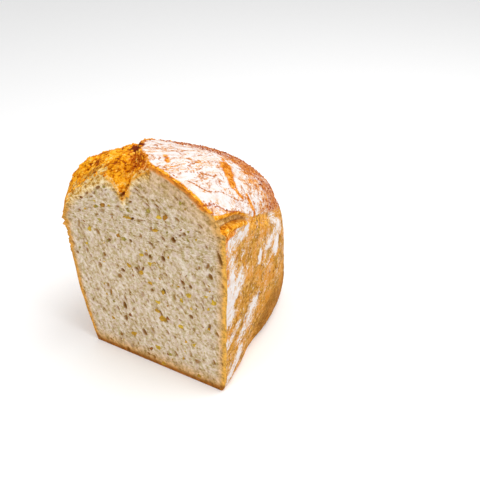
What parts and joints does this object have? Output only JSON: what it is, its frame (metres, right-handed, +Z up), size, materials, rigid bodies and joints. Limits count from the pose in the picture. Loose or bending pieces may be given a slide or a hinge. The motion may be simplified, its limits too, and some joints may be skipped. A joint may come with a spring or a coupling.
{
  "type": "tin loaf half",
  "caption": "Half of a tin loaf cut across: flat crumb face, straight walls, domed top split open along a floured slab of crust, with a side tear under its curled rim",
  "frame": {"origin": "middle of the bounding box seen from above, at the level of the flat base, which lies on z = 0", "axes": "+Z is up, -Y points out of the flat cut face, +Y towards the rounded end of the loaf, +X to the right as one looks at the cut face"},
  "size_m": [0.1056, 0.1096, 0.1329],
  "materials": {
    "bread": "matt baked crust, tan to golden brown with white flour, over grey-beige crumb with fine pores and yellow flecks"
  },
  "bodies": {
    "root": {"loaf": "bread"}
  },
  "joints": []
}
